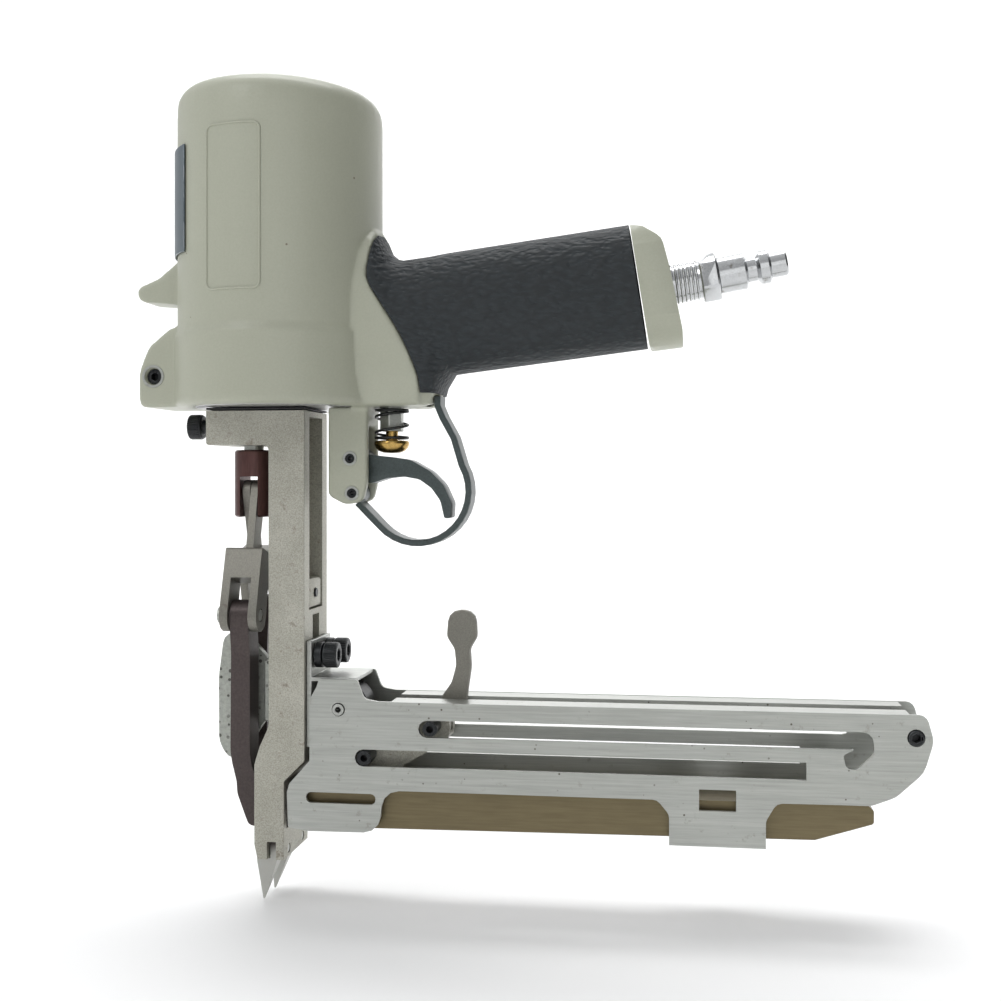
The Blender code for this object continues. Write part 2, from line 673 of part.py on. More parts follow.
def trigger_group():
    px, pz = TRIGGER_PIN
    shape = plate(
        "XZ",
        [(22.8, 133.5, 2.5), (22.8, 139.4, 3.5), (28.5, 140.4, 2.5), (33.0, 137.0, 2), (39.8, 136.3),
         (46.8, 135.3, 6), (53.7, 131.4, 6), (58.3, 126.8, 6), (61.1, 120.6, 3), (60.8, 115.4, 0.8),
         (58.6, 115.4, 0.8), (57.2, 121.4, 4), (54.2, 125.6, 4), (50.0, 128.6, 4), (44.3, 129.6, 4),
         (38.6, 129.0, 4), (33.0, 127.2, 2), (26.5, 129.8, 2)],
        -4.2, 4.2,
    )
    soften(shape, 0.8)
    cut(shape, crosswise(px, pz, 1.9, 10))
    node(shape, "trigger", "dark_paint")
    node(cut(crosswise(px, pz, 1.6, 8.8), crosswise(px, pz, 0.8, 12, 12)), "trigger_pin", "black_steel")
    gx, gz = GUARD_PIN
    node(cut(crosswise(gx, gz, 1.6, 8.8), crosswise(gx, gz, 0.8, 12, 12)), "guard_pin", "black_steel")
    guard = plate("XZ", strap_outline(), -4.6, 4.6)
    join(guard, crosswise(gx, gz, 3.3, 4.6))
    cut(guard, crosswise(gx, gz, 1.9, 10))
    node(guard, "trigger_guard", "dark_paint")
    valve()


def strap_outline():
    """Both edges of the guard's bent strap, along its middle line."""
    line = [Vector((56.3, 156.9)), Vector((56.3, 153.6)), Vector((58.0, 149.6)), Vector((61.9, 142.6))]
    for step in range(17):
        angle = math.radians(30 - 168 * step / 16)
        line.append(Vector(GUARD_CENTRE) + Vector((math.cos(angle), math.sin(angle))) * GUARD_R)
    line.append(Vector((28.4, 120.6)))
    left, right = [], []
    for index, point in enumerate(line):
        ahead = line[min(index + 1, len(line) - 1)] - line[max(index - 1, 0)]
        normal = Vector((-ahead.y, ahead.x)).normalized() * STRAP / 2
        left.append(tuple(point + normal))
        right.append(tuple(point - normal))
    return left + right[::-1]


def valve():
    """Trigger valve: housing, brass plunger with its mushroom button, and a coil spring."""
    profile = [(0, 168), (4.3, 168), (4.3, 145.7), (3.6, 145.0), (0, 145.0)]
    housing = turned(profile, foot=(VALVE_X, 0, 0), segments=24)
    cut(housing, cylinder((VALVE_X, 0, 140), (VALVE_X, 0, 175), 2.4, segments=20))
    node(housing, "valve_housing", "sheet")
    button = [(0, 160), (2.1, 160), (2.1, 142.3), (5.7, 141.8), (6.0, 141.3), (6.0, 140.6),
              (5.5, 139.4), (4.5, 138.4), (3.0, 137.8), (0, 137.6)]
    node(turned(button, foot=(VALVE_X, 0, 0), segments=24), "valve_plunger", "brass")
    curve = bpy.data.curves.new("coil", "CURVE")
    curve.dimensions = "3D"
    curve.bevel_depth = 0.6
    curve.bevel_resolution = 1
    curve.use_fill_caps = True
    turns, per_turn, low, high = 2.6, 12, 142.9, 152.2
    count = int(turns * per_turn) + 1
    spline = curve.splines.new("POLY")
    spline.points.add(count - 1)
    for index, place in enumerate(spline.points):
        angle = 2 * math.pi * index / per_turn
        height = low + (high - low) * index / (count - 1)
        place.co = (VALVE_X + 5.5 * math.cos(angle), 5.5 * math.sin(angle), height, 1)
    holder = bpy.data.objects.new("coil", curve)
    bpy.context.scene.collection.objects.link(holder)
    graph = bpy.context.evaluated_depsgraph_get()
    wire = bpy.data.meshes.new_from_object(holder.evaluated_get(graph))
    bpy.data.objects.remove(holder)
    shape = bmesh.new()
    shape.from_mesh(wire)
    bmesh.ops.remove_doubles(shape, verts=shape.verts, dist=0.0001)
    bmesh.ops.recalc_face_normals(shape, faces=shape.faces)
    node(from_bmesh(shape), "valve_spring", "spring_steel")


def magazine_plate(side, name):
    """A pressed side plate with its top flange, slots, window and folded tab."""
    inner, outer = PLATE_OUT - PLATE_THICK, PLATE_OUT
    low, high = sorted((side * inner, side * outer))
    shape = plate(
        "XZ",
        [(14.2, 54.4, 1), (16.5, 58.5, 1), (17.5, 61.4, 1), (30.6, 61.4, 1), (33.0, 55.0, 2.5),
         (38.0, PLATE_TOP, 2), (215.0, PLATE_TOP, 3), (217.2, 46.0, 6), (214.2, 36.0, 8),
         (205.6, 28.0, 8), (198.0, 25.0, 6), (188, PLATE_BOTTOM + 0.3), (168.6, PLATE_BOTTOM + 0.1, 3),
         (165.2, 19, 3), (165.2, 10.1), (134.4, 10.1), (134.4, 20, 3), (130.5, PLATE_BOTTOM, 3),
         (39.4, PLATE_BOTTOM - 0.1, 6), (38.4, 10.4, 6), (14.0, 10.1, 3),
         (6.7, 11.0, 1), (6.3, 23, 1), (7.2, 26.0, 1), (14.2, 33.6)],
        low, high,
    )
    lip_low, lip_high = sorted((side * 3.6, side * (outer - 0.4)))
    lip_top = PLATE_TOP - 0.1
    join(shape, cuboid((42.0, 210), (lip_low, lip_high), (lip_top - PLATE_THICK, lip_top)))
    foot_low, foot_high = sorted((side * 8.5, side * (outer - 0.4)))
    join(shape, cuboid((135, 164.6), (foot_low, foot_high), (10.2, 11.4)))
    cut(
        shape,
        slot_bar(UPPER_SLOT, UPPER_PIN[1]),
        slot_bar(LOWER_SLOT, LOWER_PIN[1]),
        cuboid((LOWER_SLOT[1] - 6, LOWER_SLOT[1]), (-20, 20), LOWER_END),
        plate("XZ", [(13, 23.3, 1.7), (37, 23.3, 1.7), (37, 19.7, 1.7), (13, 19.7, 1.7)], -20, 20),
        crosswise(*ROLL_PIN, 2.3, 20),
        crosswise(*REAR_PIN, 2.8, 20),
    )
    if side < 0:
        cut(
            shape,
            plate("XZ", [(188, 48.35), (192.6, 42.6), (189.4, 40.8, 0.8), (190.2, 36.4, 2.2), (193.8, 36.4, 2),
                         (199.0, 41.6, 3), (198.6, 48.35, 3.4)], -20, 20),
            cuboid((144, 155.8), (-20, 20), (21.6, 28.5)),
        )
    node(shape, name, "sheet")


def slot_bar(ends, height):
    """A cutter for a long slot with round ends."""
    low, high = ends
    corners = [(low, height - SLOT_HALF), (high, height - SLOT_HALF),
               (high, height + SLOT_HALF), (low, height + SLOT_HALF)]
    return plate("XZ", [(*corner, SLOT_HALF - 0.05) for corner in corners], -20, 20)


def magazine():
    for side, name in ((-1, "near_magazine_plate"), (1, "far_magazine_plate")):
        magazine_plate(side, name)
    inside = PLATE_OUT - PLATE_THICK - GAP
    upright = cuboid((BAR_REAR + GAP, 14.4), (-inside, inside), (38, 74))
    web = cuboid((13.0, 30), (-inside, inside), (60.4, 61.7))
    join(upright, web)
    for side in (-1, 1):
        cut(upright, cylinder((0, side * 6.5, 68.7), (30, side * 6.5, 68.7), 2.5 + GAP))
    node(upright, "magazine_bracket", "sheet")
    for side, name in ((-1, "near"), (1, "far")):
        cap_screw(f"{name}_bracket_screw", (7.5, side * 6.5, 68.7), (1, 0, 0), 10.0)
        washer = cylinder((14.7, side * 6.5, 68.7), (17.2, side * 6.5, 68.7), 4.4)
        cut(washer, cylinder((12, side * 6.5, 68.7), (18, side * 6.5, 68.7), 2.5 + GAP))
        node(washer, f"{name}_bracket_washer", "black_steel")
    rail = plate(
        "XZ",
        [(6.4, 24.2), (6.4, 10.6), (180.8, 12.6), (199.3, 18.4, 1), (199.3, 22.6, 1), (197.6, 24.2)],
        -RAIL_HALF, RAIL_HALF,
    )
    cut(rail, cuboid((0, 210), (-RAIL_HALF + 1.6, RAIL_HALF - 1.6), (5, 22.7)))
    node(rail, "clip_rail", "bronze")
    pusher()
    node(cut(crosswise(*ROLL_PIN, 2.0, 14.2), crosswise(*ROLL_PIN, 1.0, 20, 12)), "roll_pin", "sheet")
    roll = crosswise(*ROLL_PIN, 7.9, 5.0, 32)
    node(cut(roll, crosswise(*ROLL_PIN, 2.4, 9)), "spring_roll", "spring_steel")
    rear = crosswise(*REAR_PIN, 2.5, 14.2)
    join(rear, crosswise(*REAR_PIN, 3.8, PLATE_OUT - PLATE_THICK - GAP))
    x, z = REAR_PIN
    cut(rear, cylinder((x, -20, z), (x, -11, z), 1.5, segments=6))
    node(rear, "magazine_rear_pin", "black_steel")


def pusher():
    """Sliding pusher: its body, two cross pins in the slots and the thumb lever."""
    body = plate(
        "XZ",
        [(29.0, 25.0), (39.5, 25.0), (44, 31, 4), (60.5, 40.8, 3), (60.5, 50.2, 2), (50, 50.2, 3),
         (38.5, 40.5, 6), (29.0, 40.5, 2)],
        -5.5, 5.5,
    )
    foot = cuboid((29.0, 38.5), (-11.4, 11.4), (24.9, 28.9))
    join(body, foot)
    cut(body, cuboid((52.6, 66.5), (-1.7, 1.7), (43, 60)))
    for x, z in (UPPER_PIN, LOWER_PIN):
        cut(body, crosswise(x, z, 2.1 + GAP, 20))
    node(body, "clip_pusher", "cast_steel")
    for (x, z), name in ((UPPER_PIN, "upper_pusher_pin"), (LOWER_PIN, "lower_pusher_pin")):
        pin = crosswise(x, z, 2.1, 14.1)
        for side in (-1, 1):
            ends = sorted((side * 6.0, side * 13.9))
            join(pin, cylinder((x, ends[0], z), (x, ends[1], z), 2.5))
        cut(pin, cylinder((x, -20, z), (x, -10, z), 1.2, segments=12))
        node(pin, name, "black_steel")
    lever = plate(
        "XZ",
        [(58.3, 47.0), (58.3, 51.5), (57.2, 54.6, 0.8), (60.6, 59.4, 5), (62.2, 65.4, 6), (61.6, 70.8, 3),
         (58.9, 75.0, 3), (59.6, 84.2, 4.2), (69.0, 84.0, 4.2), (69.4, 75.0, 3), (67.0, 70.8, 3),
         (67.4, 65.0, 8), (66.2, 56.6, 2), (65.4, 50, 2), (62, 47.0)],
        -1.4, 1.4,
    )
    node(soften(lever, 0.5, 1), "thumb_lever", "cast_steel")


def hang(names, pivot, label):
    """Parent a moving piece to an empty on its joint's axis."""
    holder = bpy.data.objects.new(label, None)
    parts.objects.link(holder)
    holder.empty_display_size = 0.01
    holder.location = Vector((pivot[0] - ORIGIN_X, pivot[1], pivot[2])) * MM
    for name in names:
        child = bpy.data.objects[name]
        child.parent = holder
        child.matrix_parent_inverse = Matrix.Translation(holder.location).inverted()


def main():
    body_casting()
    handle()
    air_plug()
    body_fittings()
    power_unit()
    frame()
    linkage()
    trigger_group()
    magazine()
    hang(["main_piston", "piston_ring", "driver_blade"], (0, 0, 0), "driver_axis")
    hang(["jaw_piston_rod", "jaw_clevis", "clevis_pin"], (LINK_X, 0, CLEVIS_PIN_Z), "jaw_rod_axis")
    for side, name in ((-1, "near"), (1, "far")):
        hang([f"{name}_link"], (LINK_X, 0, CLEVIS_PIN_Z), f"{name}_link_axis")
        hang([f"{name}_jaw_lever"], (0, side * JAW_PIN[0], JAW_PIN[1]), f"{name}_lever_axis")
    hang(["trigger"], (TRIGGER_PIN[0], 0, TRIGGER_PIN[1]), "trigger_axis")
    hang(["valve_plunger"], (VALVE_X, 0, 150), "valve_axis")
    hang(["clip_pusher", "upper_pusher_pin", "lower_pusher_pin", "thumb_lever"], (0, 0, 40), "pusher_axis")


main()
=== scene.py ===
"""The clinching tool's looks: finishes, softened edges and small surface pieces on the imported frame."""

import json
import math

import bmesh
import bpy
from mathutils import Matrix, Vector


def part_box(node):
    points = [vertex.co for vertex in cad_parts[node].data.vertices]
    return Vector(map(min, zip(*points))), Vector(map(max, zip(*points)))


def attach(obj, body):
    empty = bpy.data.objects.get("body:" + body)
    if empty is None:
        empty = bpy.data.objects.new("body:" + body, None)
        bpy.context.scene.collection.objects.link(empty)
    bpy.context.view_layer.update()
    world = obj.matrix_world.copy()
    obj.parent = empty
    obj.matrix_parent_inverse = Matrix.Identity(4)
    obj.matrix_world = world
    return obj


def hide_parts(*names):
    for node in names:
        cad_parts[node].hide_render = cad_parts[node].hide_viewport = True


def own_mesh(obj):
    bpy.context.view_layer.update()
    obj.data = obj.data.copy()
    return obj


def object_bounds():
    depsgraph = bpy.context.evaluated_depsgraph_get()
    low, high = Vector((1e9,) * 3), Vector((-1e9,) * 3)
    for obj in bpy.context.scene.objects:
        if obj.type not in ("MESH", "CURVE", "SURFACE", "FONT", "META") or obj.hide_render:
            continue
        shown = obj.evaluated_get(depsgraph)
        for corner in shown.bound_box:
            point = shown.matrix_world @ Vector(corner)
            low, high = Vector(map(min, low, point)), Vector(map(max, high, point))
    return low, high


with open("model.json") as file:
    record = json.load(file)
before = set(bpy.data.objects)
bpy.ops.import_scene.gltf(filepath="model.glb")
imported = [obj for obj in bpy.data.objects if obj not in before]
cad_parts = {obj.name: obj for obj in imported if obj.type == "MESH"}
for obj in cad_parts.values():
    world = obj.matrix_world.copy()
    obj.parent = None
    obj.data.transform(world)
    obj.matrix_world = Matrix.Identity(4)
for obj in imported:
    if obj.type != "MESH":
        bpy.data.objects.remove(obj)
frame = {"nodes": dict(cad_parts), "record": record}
cad_box = [list(corner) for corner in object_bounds()]
NODES = frame["nodes"]
MM = 0.001
SMOOTH_ANGLE = 38
FLAT_ANGLE = math.radians(0.7)
SLOTS = {entry["node"]: entry["material_slot"] for entry in frame["record"]["subparts"]}
BODIES = {node: body for body, members in frame["record"]["behaviour"]["bodies"].items() for node in members}


# ---------------------------------------------------------------- finishes

def graph(name):
    """A new material: its nodes, links and Principled shader."""
    material = bpy.data.materials.new(name)
    material.use_nodes = True
    tree = material.node_tree
    return material, tree.nodes, tree.links, tree.nodes["Principled BSDF"]


def noise(nodes, links, vector, scale, detail=3.0, roughness=0.55):
    """Soft random patches; a larger scale makes smaller ones."""
    texture = nodes.new("ShaderNodeTexNoise")
    texture.inputs["Scale"].default_value = scale
    texture.inputs["Detail"].default_value = detail
    texture.inputs["Roughness"].default_value = roughness
    links.new(vector, texture.inputs["Vector"])
    return texture.outputs["Fac"]


def ramp(nodes, links, value, low, high, first=(0, 0, 0, 1), last=(1, 1, 1, 1)):
    """Colours from first to last as value goes from low to high."""
    scale = nodes.new("ShaderNodeValToRGB")
    scale.color_ramp.elements[0].position = low
    scale.color_ramp.elements[1].position = high
    scale.color_ramp.elements[0].color = first
    scale.color_ramp.elements[1].color = last
    links.new(value, scale.inputs["Fac"])
    return scale.outputs["Color"]


def blend(nodes, links, amount, first, second, mode="MIX"):
    """Colour mix; first and second may be colours or sockets, amount a number or a socket."""
    mixer = nodes.new("ShaderNodeMix")
    mixer.data_type = "RGBA"
    mixer.blend_type = mode
    for socket, value in ((mixer.inputs[0], amount), (mixer.inputs[6], first), (mixer.inputs[7], second)):
        if isinstance(value, bpy.types.NodeSocket):
            links.new(value, socket)
        else:
            socket.default_value = value
    return mixer.outputs[2]


def mapped(nodes, links, value, low, high, first, last):
    """A number that goes from first to last as value goes from low to high."""
    mapper = nodes.new("ShaderNodeMapRange")
    mapper.inputs["From Min"].default_value = low
    mapper.inputs["From Max"].default_value = high
    mapper.inputs["To Min"].default_value = first
    mapper.inputs["To Max"].default_value = last
    links.new(value, mapper.inputs["Value"])
    return mapper.outputs["Result"]


def spread(nodes, links, value, low, high):
    """A number between low and high that follows a value between 0 and 1."""
    return mapped(nodes, links, value, 0.0, 1.0, low, high)


def relief(nodes, links, shader, heights):
    """Chained bumps: each entry is (height socket, strength, depth in metres)."""
    normal = None
    for height, strength, depth in heights:
        bump = nodes.new("ShaderNodeBump")
        bump.inputs["Strength"].default_value = strength
        bump.inputs["Distance"].default_value = depth
        links.new(height, bump.inputs["Height"])
        if normal is not None:
            links.new(normal, bump.inputs["Normal"])
        normal = bump.outputs["Normal"]
    links.new(normal, shader.inputs["Normal"])


def coordinates(nodes, links, stretch=(1, 1, 1)):
    """Object coordinates, stretched for grain that runs one way."""
    source = nodes.new("ShaderNodeTexCoord")
    mapping = nodes.new("ShaderNodeMapping")
    mapping.inputs["Scale"].default_value = stretch
    links.new(source.outputs["Object"], mapping.inputs["Vector"])
    return mapping.outputs["Vector"]


def height_mask(nodes, links, vector, low, high):
    """1 below the height low, 0 above high."""
    split = nodes.new("ShaderNodeSeparateXYZ")
    links.new(vector, split.inputs["Vector"])
    return mapped(nodes, links, split.outputs["Z"], low, high, 1.0, 0.0)


def spots(nodes, links, vector, scale, size):
    """Scattered small round marks."""
    cells = nodes.new("ShaderNodeTexVoronoi")
    cells.inputs["Scale"].default_value = scale
    links.new(vector, cells.inputs["Vector"])
    return ramp(nodes, links, cells.outputs["Distance"], size * 0.8, size, (1, 1, 1, 1), (0, 0, 0, 1))


def surface(name, colour, metallic, rough, grain=900, stretch=(1, 1, 1), vary=0.12, bump=0.00003,
            smudge=35, worn=None, worn_amount=0.5, dirt=None, coat=0.0, marks=None, ground=None):
    """Metal or paint with grain, slow smudges, rubbed edges and fine relief.

    marks is (scale, size, colour) of scattered spots, ground (low, high, colour) of the bare foot.
    """
    material, nodes, links, shader = graph(name)
    vector = coordinates(nodes, links, stretch)
    plain = coordinates(nodes, links)
    fine = noise(nodes, links, vector, grain, 4.0, 0.65)
    slow = noise(nodes, links, plain, smudge, 5.0, 0.6)
    dark = tuple(value * (1 - vary) for value in colour) + (1,)
    light = tuple(min(1.0, value * (1 + vary)) for value in colour) + (1,)
    tone = ramp(nodes, links, fine, 0.3, 0.7, dark, light)
    slow_tone = ramp(nodes, links, slow, 0.3, 0.72, (1 - vary, 1 - vary, 1 - vary * 1.1, 1), (1, 1, 1, 1))
    tone = blend(nodes, links, 0.85, tone, slow_tone, "MULTIPLY")
    if dirt:
        stain = ramp(nodes, links, noise(nodes, links, plain, 240, 6.0, 0.7), 0.60, 0.70)
        tone = blend(nodes, links, stain, tone, (*dirt, 1))
    if marks:
        scale, size, mark = marks
        patch = ramp(nodes, links, noise(nodes, links, plain, 70, 3.0), 0.47, 0.56)
        dots = blend(nodes, links, patch, (0, 0, 0, 1), spots(nodes, links, plain, scale, size))
        tone = blend(nodes, links, dots, tone, (*mark, 1))
    if ground:
        low, high, bare = ground
        tone = blend(nodes, links, height_mask(nodes, links, plain, low, high), tone, (*bare, 1))
    if worn:
        chips = ramp(nodes, links, noise(nodes, links, plain, 130, 5.0, 0.7), 0.42, 0.58)
        tone = blend(nodes, links, blend(nodes, links, worn_amount, (0, 0, 0, 1), chips), tone, (*worn, 1))
    links.new(tone, shader.inputs["Base Color"])
    shader.inputs["Metallic"].default_value = metallic
    shader.inputs["Coat Weight"].default_value = coat
    links.new(spread(nodes, links, slow, rough * 0.8, rough * 1.25), shader.inputs["Roughness"])
    relief(nodes, links, shader, [(slow, 0.25, 0.0002), (fine, 0.6, bump)])
    return material


def rubber(name, colour):
    """Moulded grip rubber with a fine wrinkled skin, its colour darker along the creases as painted shade.
    """
    material, nodes, links, shader = graph(name)
    plain = coordinates(nodes, links)
    stretched = coordinates(nodes, links, (0.62, 1.0, 1.25))
    warp = nodes.new("ShaderNodeTexNoise")
    warp.inputs["Scale"].default_value = 320
    links.new(stretched, warp.inputs["Vector"])
    bent = nodes.new("ShaderNodeVectorMath")
    bent.operation = "MULTIPLY_ADD"
    bent.inputs[1].default_value = (0.0022, 0.0022, 0.0022)
    links.new(warp.outputs["Color"], bent.inputs[0])
    links.new(stretched, bent.inputs[2])
    cells = nodes.new("ShaderNodeTexVoronoi")
    cells.feature = "SMOOTH_F1"
    cells.inputs["Scale"].default_value = 620
    links.new(bent.outputs["Vector"], cells.inputs["Vector"])
    creases = ramp(nodes, links, cells.outputs["Distance"], 0.05, 0.62)
    slow = noise(nodes, links, plain, 60, 4.0)
    dark = tuple(value * 0.72 for value in colour) + (1,)
    light = tuple(value * 1.35 for value in colour) + (1,)
    # Painted shade: the colour is darker along the creases between the cells and lighter on the cells.
    tone = blend(nodes, links, creases, light, dark)
    slow_tone = ramp(nodes, links, slow, 0.3, 0.7, (0.75, 0.75, 0.78, 1))
    tone = blend(nodes, links, 0.5, tone, slow_tone, "MULTIPLY")
    links.new(tone, shader.inputs["Base Color"])
    links.new(spread(nodes, links, slow, 0.55, 0.72), shader.inputs["Roughness"])
    relief(nodes, links, shader, [(slow, 0.3, 0.0003), (creases, 1.0, 0.0004)])
    return material


FINISHES = {
    "paint": surface("paint", (0.385, 0.395, 0.315), 0.0, 0.44, grain=1500, vary=0.04, bump=0.00002,
                     smudge=16, coat=0.1, marks=(110, 0.05, (0.17, 0.15, 0.11))),
    # The cast steel's light specks are painted glints, standing in for the sparkle of the grain.
    "cast_steel": surface("cast_steel", (0.45, 0.44, 0.385), 0.6, 0.46, grain=2300, vary=0.30,
                          bump=0.00006, smudge=60, dirt=(0.235, 0.21, 0.17),
                          marks=(900, 0.13, (0.50, 0.49, 0.44))),
    "raw_steel": surface("raw_steel", (0.215, 0.208, 0.182), 0.6, 0.42, grain=2300, vary=0.18, bump=0.00004,
                         smudge=60, dirt=(0.15, 0.135, 0.115)),
    "sheet": surface("sheet", (0.42, 0.43, 0.405), 0.82, 0.36, grain=1500, stretch=(0.03, 1, 1),
                     vary=0.13, bump=0.00002, smudge=22, dirt=(0.31, 0.31, 0.28),
                     marks=(240, 0.09, (0.13, 0.12, 0.10))),
    "black_steel": surface("black_steel", (0.016, 0.018, 0.020), 0.4, 0.36, grain=1200, vary=0.3,
                           bump=0.00002),
    "dark_paint": surface("dark_paint", (0.058, 0.074, 0.074), 0.3, 0.36, grain=1600, vary=0.18,
                          bump=0.00002),
    "brown_steel": surface("brown_steel", (0.088, 0.040, 0.036), 0.55, 0.36, grain=1800,
                           stretch=(1, 1, 0.1), vary=0.2),
    "lever_steel": surface("lever_steel", (0.070, 0.054, 0.052), 0.5, 0.40, grain=1300, vary=0.22,
                           bump=0.00004, ground=(0.0015, 0.0045, (0.45, 0.45, 0.42))),
    "bronze": surface("bronze", (0.175, 0.142, 0.078), 0.6, 0.38, grain=1200, stretch=(0.05, 1, 1),
                      vary=0.14, bump=0.00002, smudge=18),
    "brass": surface("brass", (0.52, 0.34, 0.11), 1.0, 0.24, grain=1500, stretch=(1, 1, 0.1),
                     vary=0.18, bump=0.00001, dirt=(0.20, 0.13, 0.05)),
    "spring_steel": surface("spring_steel", (0.035, 0.036, 0.036), 0.8, 0.32, grain=1500, vary=0.2),
    "zinc": surface("zinc", (0.40, 0.415, 0.38), 0.6, 0.42, grain=700, vary=0.2, bump=0.00012,
                    smudge=90, marks=(420, 0.30, (0.09, 0.09, 0.08))),
    "alloy": surface("alloy", (0.55, 0.55, 0.56), 0.95, 0.32, stretch=(1, 1, 0.2)),
    "chrome": surface("chrome", (0.56, 0.57, 0.58), 1.0, 0.17, grain=1800, vary=0.1, bump=0.00001,
                      smudge=180, dirt=(0.30, 0.29, 0.27)),
    "plate": surface("plate", (0.085, 0.115, 0.135), 0.5, 0.34, grain=1400, stretch=(1, 1, 0.08),
                     vary=0.12, bump=0.00001),
    "seal": surface("seal", (0.012, 0.012, 0.013), 0.0, 0.6, vary=0.2),
    "grip": rubber("grip", (0.014, 0.019, 0.022)),
}

# Forged pieces that are darker than the frame's cast steel.
LOOKS = {"near_link": "raw_steel", "far_link": "raw_steel", "thumb_lever": "raw_steel"}

# Bevelled corners in lighter copies of each finish, a painted edge highlight, with rubbed wear in patches:
# metallic share, roughness, colour between the rubs (the painted highlight) and colour where rubbed.
HIGHLIT_WORN_EDGES = {
    slot: surface(f"{slot}_edge", edge_highlight_tone, metallic, rough, grain=1600, vary=0.12, bump=0.00001,
                  worn=rubbed, worn_amount=0.8)
    for slot, edge_highlight_tone, rubbed, metallic, rough in (
        ("paint", (0.40, 0.41, 0.33), (0.46, 0.46, 0.40), 0.0, 0.42),
        ("cast_steel", (0.38, 0.37, 0.32), (0.56, 0.55, 0.50), 0.7, 0.40),
        ("raw_steel", (0.25, 0.24, 0.21), (0.42, 0.41, 0.37), 0.7, 0.36),
        ("sheet", (0.45, 0.46, 0.43), (0.66, 0.67, 0.65), 0.85, 0.30),
        ("black_steel", (0.025, 0.027, 0.030), (0.09, 0.095, 0.10), 0.5, 0.34),
        ("dark_paint", (0.075, 0.092, 0.092), (0.17, 0.19, 0.19), 0.3, 0.34),
        ("brown_steel", (0.11, 0.055, 0.050), (0.22, 0.16, 0.15), 0.6, 0.34),
        ("lever_steel", (0.085, 0.068, 0.066), (0.19, 0.17, 0.16), 0.55, 0.36),
        ("bronze", (0.20, 0.165, 0.095), (0.33, 0.29, 0.19), 0.65, 0.34),
        ("brass", (0.56, 0.38, 0.14), (0.74, 0.57, 0.28), 1.0, 0.22),
        ("zinc", (0.45, 0.46, 0.43), (0.64, 0.65, 0.62), 0.65, 0.38),
        ("chrome", (0.60, 0.61, 0.62), (0.80, 0.81, 0.83), 1.0, 0.15),
        ("plate", (0.12, 0.15, 0.17), (0.28, 0.31, 0.33), 0.5, 0.32),
    )
}


# ---------------------------------------------------------------- building pieces

def piece(name, mesh, slot, body="tool_body", look=None):
    """A visible object in its slot's finish, or in another look of the same slot."""
    obj = bpy.data.objects.new(name, mesh)
    bpy.context.scene.collection.objects.link(obj)
    mesh.materials.clear()
    mesh.materials.append(FINISHES[look or slot])
    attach(obj, body)
    return obj


def cleaned(node):
    """The node's solid as a welded mesh."""
    shape = bmesh.new()
    shape.from_mesh(NODES[node].data)
    bmesh.ops.remove_doubles(shape, verts=shape.verts, dist=0.000002)
    return shape


def finished(name, shape, smooth=SMOOTH_ANGLE):
    """A mesh from shape, shaded smooth except over corners sharper than smooth and broad flat faces."""
    flat = broad_faces(shape, math.radians(smooth))
    mesh = bpy.data.meshes.new(name)
    shape.to_mesh(mesh)
    shape.free()
    if "custom_normal" in mesh.attributes:
        mesh.attributes.remove(mesh.attributes["custom_normal"])
    mesh.shade_smooth()
    mesh.polygons.foreach_set("use_smooth", [index not in flat for index in range(len(mesh.polygons))])
    mesh.set_sharp_from_angle(angle=math.radians(smooth))
    return mesh


def broad_faces(shape, corner):
    """Faces in flat regions that meet no curved neighbour of about their own size."""
    shape.faces.index_update()
    shape.normal_update()
    region = {}
    areas = []
    for seed in shape.faces:
        if seed.index in region:
            continue
        label = len(areas)
        region[seed.index] = label
        queue, area = [seed], 0.0
        while queue:
            face = queue.pop()
            area += face.calc_area()
            for edge in face.edges:
                if len(edge.link_faces) != 2 or edge.calc_face_angle() > FLAT_ANGLE:
                    continue
                for other in edge.link_faces:
                    if other.index not in region:
                        region[other.index] = label
                        queue.append(other)
        areas.append(area)
    curved = {}
    for edge in shape.edges:
        if len(edge.link_faces) == 2 and FLAT_ANGLE < edge.calc_face_angle() < corner:
            first, second = (region[face.index] for face in edge.link_faces)
            curved[first] = max(curved.get(first, 0.0), areas[second])
            curved[second] = max(curved.get(second, 0.0), areas[first])
    return {index for index, label in region.items() if areas[label] > 3.0 * curved.get(label, 0.0)}


def refined(node, width, segments):
    """Stand-in for a CAD node: the same solid with its corners rounded off by width millimetres."""
    mesh = finished(f"{node}_skin", cleaned(node))
    look = LOOKS.get(node, SLOTS[node])
    obj = piece(f"{node}_skin", mesh, SLOTS[node], BODIES[node], look)
    bevel = obj.modifiers.new("Bevel", "BEVEL")
    bevel.width = width * MM
    bevel.segments = segments
    bevel.limit_method = "ANGLE"
    bevel.angle_limit = math.radians(SMOOTH_ANGLE)
    bevel.use_clamp_overlap = True
    # The bevelled corners take the lighter edge copy of the finish: a painted highlight along every edge,
    # with rubbed wear.
    if look in HIGHLIT_WORN_EDGES:
        mesh.materials.append(HIGHLIT_WORN_EDGES[look])
        bevel.material = 1
    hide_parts(node)


def applied(obj):
    """The object's mesh with its modifiers applied."""
    evaluated = obj.evaluated_get(bpy.context.evaluated_depsgraph_get())
    return bpy.data.meshes.new_from_object(evaluated)


def tube_curve(name, points, radius, slot, closed=False, resolution=3):
    """A round wire along points."""
    curve = bpy.data.curves.new(name, "CURVE")
    curve.dimensions = "3D"
    curve.bevel_depth = radius
    curve.bevel_resolution = resolution
    curve.use_fill_caps = True
    spline = curve.splines.new("POLY")
    spline.points.add(len(points) - 1)
    spline.use_cyclic_u = closed
    for place, point in zip(spline.points, points):
        place.co = (*point, 1)
    wire = bpy.data.objects.new(f"{name}_wire", curve)
    mesh = bpy.data.meshes.new_from_object(wire)
    bpy.data.objects.remove(wire)
    return piece(name, mesh, slot)


